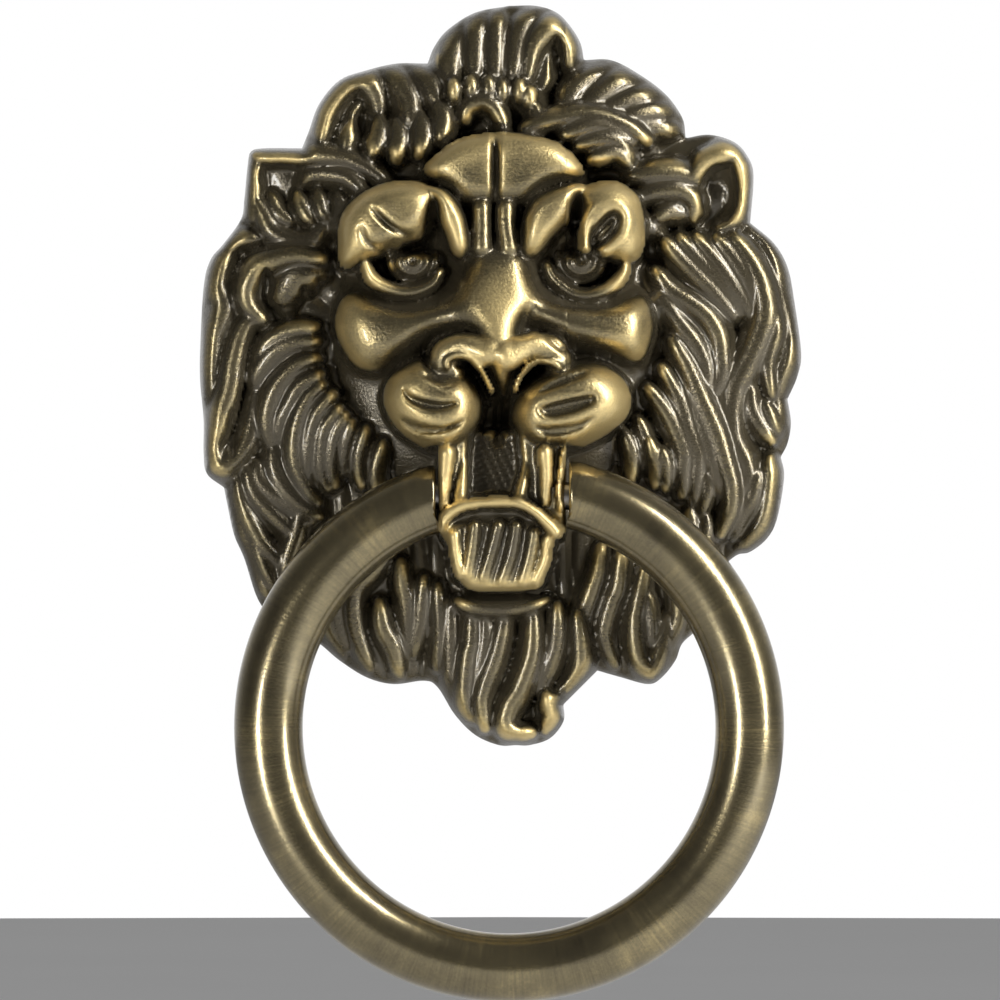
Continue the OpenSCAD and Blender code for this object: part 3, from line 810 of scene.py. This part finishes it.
def ring_brass(finish):
    """The ring's rubbed brass, brushed across its bar."""
    material, tree, shader, place = start_material("ring_brass")
    along = add_node(tree, "ShaderNodeUVMap", uv_map="bar").outputs["UV"]
    cloud = add_noise(tree, place, 110, 5)
    lines = add_noise(tree, along, 1, 4, (2600, 60, 1))
    grain = add_noise(tree, place, 2400, 3)
    shade = add_math(tree, "MULTIPLY_ADD", cloud, 0.5, 0.27)
    for noise, amount in ((lines, 0.22), (grain, 0.16)):
        shade = add_shade(tree, shade, noise, amount)
    tree.links.new(add_ramp(tree, shade, brass_colours(finish)), shader.inputs["Base Color"])
    rough = add_ramp(tree, shade, [(0.2, 0.24), (0.55, 0.24), (0.85, 0.3)])
    tree.links.new(rough, shader.inputs["Roughness"])
    shader.inputs["Metallic"].default_value = 0.9
    shader.inputs["Coat Weight"].default_value = 0.5
    shader.inputs["Coat Roughness"].default_value = 0.1
    normal = add_bump(tree, lines, 0.15, 0.0001)
    normal = add_bump(tree, grain, 0.2, 0.0001, normal)
    tree.links.new(normal, shader.inputs["Normal"])
    return material


def plain_metal(name, dark, bright, rough, cell):
    """A turned or plated metal with slight clouding and fine marks."""
    material, tree, shader, place = start_material(name)
    cloud = add_noise(tree, place, cell, 5)
    fine = add_noise(tree, place, cell * 12, 3)
    both = add_math(tree, "MULTIPLY_ADD", fine, 0.35, add_math(tree, "MULTIPLY", cloud, 0.65))
    tree.links.new(add_ramp(tree, both, [(0.35, dark), (0.65, bright)]), shader.inputs["Base Color"])
    spread = add_ramp(tree, both, [(0.3, rough + 0.12), (0.7, rough - 0.06)])
    tree.links.new(spread, shader.inputs["Roughness"])
    shader.inputs["Metallic"].default_value = 1.0
    tree.links.new(add_bump(tree, fine, 0.15, 0.00008), shader.inputs["Normal"])
    return material


class KNOCKER_PG_casting(bpy.types.PropertyGroup):
    mesh_step: bpy.props.FloatProperty(
        name="Detail", description="Spacing of the mesh over the relief, in millimetres",
        default=0.295, min=0.28, max=1.5)
    edge_height: bpy.props.FloatProperty(
        name="Edge height", description="Height of the casting's plain edge", default=0.0035,
        min=0.002, max=0.006, subtype="DISTANCE", unit="LENGTH")
    edge_round: bpy.props.FloatProperty(
        name="Edge rounding", description="How far the mane rounds over at the edge",
        default=0.0026, min=0.0005, max=0.005, subtype="DISTANCE", unit="LENGTH")
    rim: bpy.props.FloatProperty(
        name="Back rim", description="Width of the flat rim round the hollow back",
        default=0.0032, min=0.002, max=0.006, subtype="DISTANCE", unit="LENGTH")
    boss: bpy.props.FloatProperty(
        name="Boss diameter", description="Diameter of the bosses that hold the studs",
        default=0.012, min=0.009, max=0.016, subtype="DISTANCE", unit="LENGTH")


class KNOCKER_PG_finish(bpy.types.PropertyGroup):
    patina: bpy.props.FloatVectorProperty(
        name="Patina", description="Colour of the darkened hollows", default=(0.085, 0.07, 0.042),
        size=3, min=0, max=1, subtype="COLOR")
    bronze: bpy.props.FloatVectorProperty(
        name="Bronze", description="Colour between the hollows and the crests",
        default=(0.2, 0.165, 0.09), size=3, min=0, max=1, subtype="COLOR")
    brass: bpy.props.FloatVectorProperty(
        name="Brass", description="Colour of the rubbed crests", default=(0.64, 0.5, 0.23),
        size=3, min=0, max=1, subtype="COLOR")


class KNOCKER_PG_thread(bpy.types.PropertyGroup):
    pitch: bpy.props.FloatProperty(
        name="Thread pitch", description="Distance between two turns of the studs' threads",
        default=0.0008, min=0.0005, max=0.002, subtype="DISTANCE", unit="LENGTH")
    depth: bpy.props.FloatProperty(
        name="Thread depth", description="Depth of the studs' threads", default=0.0004,
        min=0.0001, max=0.0008, subtype="DISTANCE", unit="LENGTH")


def back_rings(bm, rim):
    """Closes the casting behind: its edge down to the door, the flat rim, and the hollow."""
    lip, wall, deep, slope = 0.0006, 0.0015, 0.0033, 0.0008
    rings = [(1, 0, lip), (1, 0, 0), (1, rim, 0), (1, rim + slope, wall)]
    rings += [(s, rim + 0.001, wall + deep * (1 - s ** 3)) for s in (0.86, 0.7, 0.5, 0.28, 0.1)]
    loop = [e for e in bm.edges if e.is_boundary]
    spokes = {v: Vector((v.co.x, 0, v.co.z)) for e in loop for v in e.verts}
    for share, inset, depth in rings:
        made = bmesh.ops.extrude_edge_only(bm, edges=loop)["geom"]
        outer, spokes = spokes, {}
        for vert in (g for g in made if isinstance(g, bmesh.types.BMVert)):
            spoke = next(outer[v] for v in (e.other_vert(vert) for e in vert.link_edges)
                         if v in outer)
            spokes[vert] = spoke
            vert.co = spoke * (share * (spoke.length - inset) / spoke.length)
            vert.co.y = -depth
        loop = [g for g in made if isinstance(g, bmesh.types.BMEdge)]
        loop = [e for e in loop if all(v in spokes for v in e.verts)]
    cap = bmesh.ops.contextual_create(bm, geom=loop)["faces"]
    bmesh.ops.poke(bm, faces=cap)


def add_boss(bm, z, radius, bore, top, depth):
    """A boss with a blind hole, on the inside of the casting."""
    turn = Matrix.Translation((0, 0, z)) @ Matrix.Rotation(math.radians(90), 4, "X")
    ring = bmesh.ops.create_circle(bm, cap_ends=True, segments=64, radius=radius, matrix=turn)
    face = ring["verts"][0].link_faces[0]
    bmesh.ops.inset_region(bm, faces=[face], thickness=radius - bore)
    level, near = 1e-7, radius + 1e-5
    outer = [e for e in bm.edges if e.is_boundary and abs(e.verts[0].co.y) < level
             and math.hypot(e.verts[0].co.x, e.verts[0].co.z - z) < near]
    wall = bmesh.ops.extrude_edge_only(bm, edges=outer)["geom"]
    tops = [v for v in wall if isinstance(v, bmesh.types.BMVert)]
    bmesh.ops.translate(bm, verts=tops, vec=(0, -top, 0))
    bmesh.ops.contextual_create(bm, geom=[e for e in wall if isinstance(e, bmesh.types.BMEdge)])
    hole = bmesh.ops.extrude_face_region(bm, geom=[face])["geom"]
    floor = [v for v in hole if isinstance(v, bmesh.types.BMVert)]
    bmesh.ops.translate(bm, verts=floor, vec=(0, -depth, 0))
    bmesh.ops.delete(bm, geom=[face], context="FACES")


def fitted_edge(low, high):
    """The casting's edge, fitted to its box."""
    edge = edge_curve()
    span = edge.max(axis=0) - edge.min(axis=0)
    middle = (edge.max(axis=0) + edge.min(axis=0)) / 2
    return (edge - middle) * (high - low)[[0, 2]] / span + (low + high)[[0, 2]] / 2


def rounded_front(x, z, gap, casting):
    """Height of the front, softened a little and rounded down to the plain edge."""
    h, softness = relief(x, z), 0.45
    h = softness * blur(h, 1) + (1 - softness) * h
    share = np.clip(gap / (casting.edge_round / MM), 0, 1)
    plain = casting.edge_height / MM
    h = plain + (h - plain) * np.sqrt(1 - (1 - share) ** 2)
    return np.minimum(h, -HEAD_LOW[1] / MM)


def grid_places(bm, columns, rows):
    """Where each vertex of a new grid stands in an array of its rows and columns."""
    flat = np.array([v.co[:2] for v in bm.verts]) + 0.5
    column, row = np.rint(flat * (columns - 1, rows - 1)).astype(int).T
    return row * columns + column


def cast_front(bm, layer, casting):
    """Shapes a grid to the front of the casting and trims it at the edge, with its wear."""
    low, high = np.array(HEAD_LOW) / MM, np.array(HEAD_HIGH) / MM
    edge = fitted_edge(low, high)
    jaw_lines = [(JAW_MID + side * JAW_HALF) / MM + step
                 for side in (-1, 1) for step in (-0.06, 0.06)]
    xs = spaced(low[0], high[0], casting.mesh_step, jaw_lines)
    zs = spaced(low[2], high[2], casting.mesh_step)
    x, z = np.meshgrid(xs, zs)
    gap, _, (edge_x, edge_z) = nearest(x, z, np.vstack([edge, edge[:1]]))
    h = rounded_front(x, z, gap, casting)
    wear = rubbed(h, x, z)
    inside = inside_edge(x, z, edge)

    bmesh.ops.create_grid(bm, x_segments=len(xs) - 1, y_segments=len(zs) - 1, size=0.5)
    bm.verts.index_update()
    at = grid_places(bm, len(xs), len(zs))
    place = np.column_stack([grid.ravel()[at] for grid in (x, -h, z)])
    edge_place = np.column_stack([edge_x.ravel()[at], edge_z.ravel()[at]])
    inside = inside.ravel()[at]
    corners = np.array([[v.index for v in face.verts] for face in bm.faces])
    kept = inside[corners].sum(axis=1) >= 3
    used, dropped = (np.isin(np.arange(len(at)), corners[some]) for some in (kept, ~kept))
    rim = used & dropped
    place[rim, 0], place[rim, 2] = edge_place[rim].T
    place[rim, 1] = -casting.edge_height / MM
    for vert, point, value in zip(bm.verts, place * MM, wear.ravel()[at]):
        vert.co = point
        vert[layer] = value
    trimmed = [face for face, keep in zip(bm.faces, kept) if not keep]
    bmesh.ops.delete(bm, geom=trimmed, context="FACES")
    loose = [v for v in bm.verts if not v.link_faces]
    bmesh.ops.delete(bm, geom=loose, context="VERTS")


class KNOCKER_OT_head(bpy.types.Operator):
    """Cast the lion's head"""

    bl_idname = "knocker.head"
    bl_label = "Lion head"

    def execute(self, context):
        casting = context.scene.knocker_casting
        bm = bmesh.new()
        layer = bm.verts.layers.float.new("wear")
        cast_front(bm, layer, casting)
        back_rings(bm, casting.rim)
        bmesh.ops.recalc_face_normals(bm, faces=bm.faces)
        play, boss_wear = 0.00005, 0.28
        for z in (-STUD_Z, STUD_Z):
            first = len(bm.verts)
            add_boss(bm, z, casting.boss / 2, THREAD_R + play, BOSS_HEIGHT, -STUD_LOW[1])
            for vert in bm.verts[first:]:
                vert[layer] = boss_wear
        bmesh.ops.recalc_face_normals(bm, faces=bm.faces)
        material = cast_brass(context.scene.knocker_finish)
        piece = new_piece("lion_head_casting", bm, "head", material, ["lion_head"])
        sharpen(piece, 62)
        return {"FINISHED"}


def map_bar(bm):
    """Lays a UV map along and round the ring's bar."""
    layer = bm.loops.layers.uv.new("bar")
    for face in bm.faces:
        middle = face.calc_center_median()
        near = math.atan2(middle.x, -(middle.z - RING_Z))
        for loop in face.loops:
            at = loop.vert.co
            round_ring = math.atan2(at.x, -(at.z - RING_Z))
            if round_ring - near > math.pi:
                round_ring -= 2 * math.pi
            elif near - round_ring > math.pi:
                round_ring += 2 * math.pi
            out = math.hypot(at.x, at.z - RING_Z) - RING_R
            loop[layer].uv = (round_ring * RING_R, math.atan2(at.y - RING_Y, out) * BAR_R)


class KNOCKER_OT_ring(bpy.types.Operator):
    """Bend the ring"""

    bl_idname = "knocker.ring"
    bl_label = "Ring"

    def execute(self, context):
        start = math.asin((JAW_MID + RING_GAP_HALF) / RING_R)
        finish = math.asin((RING_GAP_HALF - JAW_MID) / RING_R)
        bm = bmesh.new()
        turn = Matrix.Translation((0, RING_Y, RING_Z)) @ Matrix.Rotation(start, 4, "Y")
        turn = turn @ Matrix.Translation((0, 0, RING_R)) @ Matrix.Rotation(math.radians(90), 4, "Y")
        bmesh.ops.create_circle(bm, cap_ends=False, segments=64, radius=BAR_R, matrix=turn)
        bmesh.ops.spin(bm, geom=bm.verts[:] + bm.edges[:], cent=(0, RING_Y, RING_Z), axis=(0, 1, 0),
                       dvec=(0, 0, 0), angle=2 * math.pi - start - finish, steps=240,
                       use_merge=False, use_normal_flip=False, use_duplicate=False)
        loops = [e for e in bm.edges if e.is_boundary]
        for vert in (v for e in loops for v in e.verts):
            side = 1 if vert.co.x > JAW_MID else -1
            vert.co.x = JAW_MID + side * RING_GAP_HALF
        caps = bmesh.ops.holes_fill(bm, edges=loops, sides=0)["faces"]
        rims = [e for f in caps for e in f.edges]
        bmesh.ops.recalc_face_normals(bm, faces=bm.faces)
        bmesh.ops.bevel(bm, geom=rims, offset=0.0005, offset_type="OFFSET", segments=3,
                        profile=0.5, affect="EDGES", material=-1)
        map_bar(bm)
        material = ring_brass(context.scene.knocker_finish)
        piece = new_piece("swing_ring", bm, "ring", material, ["ring"])
        sharpen(piece, 40)
        return {"FINISHED"}


def along_y(x, z, start):
    """Places a shape made along +Z so that it runs along +Y from the given point."""
    return Matrix.Translation((x, start, z)) @ Matrix.Rotation(math.radians(-90), 4, "X")


def turned(bm, profile, matrix, steps=64):
    """Spins a profile of (radius, distance) points round the axis."""
    verts = [bm.verts.new((r, 0, d)) for r, d in profile]
    edges = [bm.edges.new(pair) for pair in zip(verts, verts[1:])]
    bmesh.ops.spin(bm, geom=verts + edges, cent=(0, 0, 0), axis=(0, 0, 1), dvec=(0, 0, 0),
                   angle=2 * math.pi, steps=steps, use_merge=True, use_normal_flip=False,
                   use_duplicate=False)
    bmesh.ops.remove_doubles(bm, verts=bm.verts, dist=1e-6)
    bmesh.ops.recalc_face_normals(bm, faces=bm.faces)
    bmesh.ops.transform(bm, matrix=matrix, verts=bm.verts)


class KNOCKER_OT_pins(bpy.types.Operator):
    """Turn the two pivot pins"""

    bl_idname = "knocker.pins"
    bl_label = "Pivot pins"

    def execute(self, context):
        length = PIN_HIGH[0] - PIN_LOW[0]
        chamfer = 0.0004
        material = plain_metal("pin_steel", (0.32, 0.31, 0.3), (0.52, 0.5, 0.48), 0.34, 300)
        for side, name in ((-1, "left"), (1, "right")):
            bm = bmesh.new()
            profile = [(0, 0), (PIN_R - chamfer, 0), (PIN_R, chamfer), (PIN_R, length - chamfer),
                       (PIN_R - chamfer, length), (0, length)]
            matrix = (Matrix.Translation((JAW_MID + side * (PIN_LOW[0] - JAW_MID), RING_Y, PIVOT_Z))
                      @ Matrix.Rotation(math.radians(90 * side), 4, "Y"))
            turned(bm, profile, matrix, 48)
            piece = new_piece("pin_" + name, bm, "ring", material, ["pivot_pin_" + name])
            sharpen(piece, 40)
        return {"FINISHED"}


def screw(start, end, thread):
    """Ridges and grooves of a stud's thread from start to end."""
    points, pitch, crest = [], thread.pitch, 0.15 * thread.pitch
    for i in range(int((end - start) / pitch)):
        at = start + i * pitch
        points += [(THREAD_R, at), (THREAD_R, at + crest),
                   (THREAD_R - thread.depth, at + pitch / 2), (THREAD_R, at + pitch - crest)]
    return points + [(THREAD_R, end)]


def stud_profile(thread):
    """Half a stud's outline: a short thread in the boss, the thick shank, the long thread."""
    chamfer, corner, groove = 0.0006, 0.0003, 0.0008
    foot, step, end = -STUD_LOW[1], SHANK_END - STUD_LOW[1], STUD_HIGH[1] - STUD_LOW[1]
    return [(0, 0), (THREAD_R - chamfer, 0), *screw(chamfer, foot - chamfer, thread),
            (THREAD_R, foot), (STUD_R, foot), (STUD_R, step - corner), (STUD_R - corner, step),
            (THREAD_R, step), *screw(step + groove, end - chamfer, thread),
            (THREAD_R - chamfer, end), (0, end)]


def washer_profile():
    """Half a washer's section, with its corners taken off."""
    thick = WASHER_HIGH[1] - WASHER_LOW[1]
    outer = (WASHER_HIGH[0] - WASHER_LOW[0]) / 2
    edge, play = 0.0002, 0.0002
    bore = STUD_R + play
    return [(bore, edge), (bore + edge, 0), (outer - edge, 0), (outer, edge),
            (outer, thick - edge), (outer - edge, thick), (bore + edge, thick),
            (bore, thick - edge), (bore, edge)]


def add_cap_nut(bm, place):
    """A hexagon with chamfered corners under a dome."""
    flats = (NUT_HIGH[2] - NUT_LOW[2]) / 2
    hexagon, chamfer, collar = 0.004, 0.00035, 0.0002
    bmesh.ops.create_circle(bm, cap_ends=True, segments=6, radius=flats / math.cos(math.pi / 6))
    made = bmesh.ops.extrude_face_region(bm, geom=bm.faces[:])["geom"]
    tops = [g for g in made if isinstance(g, bmesh.types.BMVert)]
    bmesh.ops.translate(bm, verts=tops, vec=(0, 0, hexagon))
    bmesh.ops.recalc_face_normals(bm, faces=bm.faces)
    bmesh.ops.bevel(bm, geom=bm.edges[:], offset=chamfer, offset_type="OFFSET", segments=3,
                    profile=0.5, affect="EDGES", material=-1)
    bmesh.ops.transform(bm, matrix=place, verts=bm.verts)

    cap = bmesh.new()
    dome = flats - collar
    rise = NUT_HIGH[1] - NUT_LOW[1] - hexagon - collar
    profile = [(dome, hexagon - 2 * collar), (dome, hexagon + collar)]
    profile += [(dome * math.cos(a), hexagon + collar + rise * math.sin(a))
                for a in (math.radians(90 * i / 16) for i in range(1, 17))]
    turned(cap, profile, place)
    mesh = bpy.data.meshes.new("dome")
    cap.to_mesh(mesh)
    cap.free()
    bm.from_mesh(mesh)
    bpy.data.meshes.remove(mesh)


class KNOCKER_OT_fixings(bpy.types.Operator):
    """Turn the studs, washers and cap nuts"""

    bl_idname = "knocker.fixings"
    bl_label = "Studs, washers and nuts"

    def execute(self, context):
        thread = context.scene.knocker_thread
        plated = plain_metal("stud_steel", (0.4, 0.34, 0.2), (0.6, 0.54, 0.36), 0.36, 260)
        brass = plain_metal("nut_brass", (0.36, 0.26, 0.11), (0.58, 0.45, 0.22), 0.32, 220)
        for name, z in (("upper", STUD_Z), ("lower", -STUD_Z)):
            bm = bmesh.new()
            turned(bm, stud_profile(thread), along_y(0, z, STUD_LOW[1]))
            stud = new_piece("stud_bar_" + name, bm, "head", plated, ["stud_" + name])
            sharpen(stud, 50)

            bm = bmesh.new()
            turned(bm, washer_profile(), along_y(0, z, WASHER_LOW[1]), 72)
            washer = new_piece("flat_washer_" + name, bm, "head", brass, ["washer_" + name])
            sharpen(washer, 40)

            bm = bmesh.new()
            add_cap_nut(bm, along_y(0, z, NUT_LOW[1]))
            nut = new_piece("dome_nut_" + name, bm, "head", brass, ["cap_nut_" + name])
            sharpen(nut, 40)
        return {"FINISHED"}


class KNOCKER_OT_stage(bpy.types.Operator):
    """Lay the floor, hang the lights and set the camera"""

    bl_idname = "knocker.stage"
    bl_label = "Stage"

    def execute(self, context):
        scene = context.scene
        bm = bmesh.new()
        bmesh.ops.create_circle(bm, cap_ends=True, segments=64, radius=2.5)
        mesh = bpy.data.meshes.new("floor")
        bm.to_mesh(mesh)
        bm.free()
        floor = bpy.data.objects.new("floor", mesh)
        floor.location = (0, 0.3, -0.22)
        scene.collection.objects.link(floor)
        paint, tree, shader, place = start_material("floor_paint")
        tone = add_ramp(tree, add_noise(tree, place, 3), [(0, 0.8), (1, 0.86)])
        tree.links.new(tone, shader.inputs["Base Color"])
        shader.inputs["Roughness"].default_value = 0.9
        mesh.materials.append(paint)

        self.lamp("right_softbox", (0.74, -0.5, 0.36), (0.11, 0.95), 15)
        self.lamp("left_softbox", (-0.55, -0.8, -0.25), (0.11, 0.6), 8.5)
        self.world(scene)

        camera = bpy.data.cameras.new("camera")
        camera.lens = 300
        camera.sensor_width = 36
        camera.clip_end = 50
        seat = bpy.data.objects.new("camera", camera)
        view_width = 0.1465
        aim = Vector((-0.00132, -0.009, -0.0183))
        seat.location = aim - Vector((0, view_width * camera.lens / camera.sensor_width, 0))
        seat.rotation_euler = (math.radians(90), 0, 0)
        scene.collection.objects.link(seat)
        scene.camera = seat
        scene.view_settings.view_transform = "Standard"
        return {"FINISHED"}

    def lamp(self, name, place, size, power):
        """A soft panel that faces the knocker."""
        data = bpy.data.lights.new(name, "AREA")
        data.shape = "RECTANGLE"
        data.size, data.size_y = size
        data.energy = power
        lamp = bpy.data.objects.new(name, data)
        lamp.location = place
        aim = Vector((0, 0, -0.02)) - Vector(place)
        lamp.rotation_euler = aim.to_track_quat("-Z", "Y").to_euler()
        bpy.context.scene.collection.objects.link(lamp)

    def world(self, scene):
        """White behind the knocker, and a dim room in front for the metal to mirror."""
        world = bpy.data.worlds.new("studio")
        scene.world = world
        world.use_nodes = True
        tree = world.node_tree
        tree.nodes.clear()
        way = add_node(tree, "ShaderNodeTexCoord").outputs["Generated"]
        split = add_node(tree, "ShaderNodeSeparateXYZ")
        tree.links.new(way, split.inputs[0])
        depth = add_math(tree, "MULTIPLY_ADD", split.outputs["Y"], 0.5, 0.5)
        room = add_ramp(tree, depth, [(0.0, 0.09), (0.4, 0.09), (0.6, 0.21),
                                      (1.0, 0.95)])
        dim = add_node(tree, "ShaderNodeBackground")
        tree.links.new(room, dim.inputs["Color"])
        white = add_node(tree, "ShaderNodeBackground")
        white.inputs["Color"].default_value = (1, 1, 1, 1)
        seen = add_node(tree, "ShaderNodeLightPath").outputs["Is Camera Ray"]
        mix = add_node(tree, "ShaderNodeMixShader")
        tree.links.new(seen, mix.inputs["Fac"])
        tree.links.new(dim.outputs[0], mix.inputs[1])
        tree.links.new(white.outputs[0], mix.inputs[2])
        out = add_node(tree, "ShaderNodeOutputWorld")
        tree.links.new(mix.outputs[0], out.inputs["Surface"])


OPERATORS = (KNOCKER_OT_head, KNOCKER_OT_ring, KNOCKER_OT_pins, KNOCKER_OT_fixings,
             KNOCKER_OT_stage)


class KNOCKER_PT_panel(bpy.types.Panel):
    bl_idname = "KNOCKER_PT_panel"
    bl_label = "Lion-head door knocker"
    bl_space_type = "VIEW_3D"
    bl_region_type = "UI"
    bl_category = "Knocker"

    def draw(self, context):
        for group in ("knocker_casting", "knocker_finish", "knocker_thread"):
            settings = getattr(context.scene, group)
            box = self.layout.box()
            for name in settings.bl_rna.properties.keys():
                if name not in ("rna_type", "name"):
                    box.prop(settings, name)
        for operator in OPERATORS:
            self.layout.operator(operator.bl_idname)


GROUPS = {"knocker_casting": KNOCKER_PG_casting, "knocker_finish": KNOCKER_PG_finish,
          "knocker_thread": KNOCKER_PG_thread}


def register():
    for cls in (*GROUPS.values(), *OPERATORS, KNOCKER_PT_panel):
        bpy.utils.register_class(cls)
    for name, group in GROUPS.items():
        setattr(bpy.types.Scene, name, bpy.props.PointerProperty(type=group))


def unregister():
    for name in GROUPS:
        delattr(bpy.types.Scene, name)
    for cls in reversed((*GROUPS.values(), *OPERATORS, KNOCKER_PT_panel)):
        bpy.utils.unregister_class(cls)


def main():
    register()
    bpy.ops.knocker.stage()
    bpy.ops.knocker.head()
    bpy.ops.knocker.ring()
    bpy.ops.knocker.pins()
    bpy.ops.knocker.fixings()


if __name__ == "__main__":
    main()
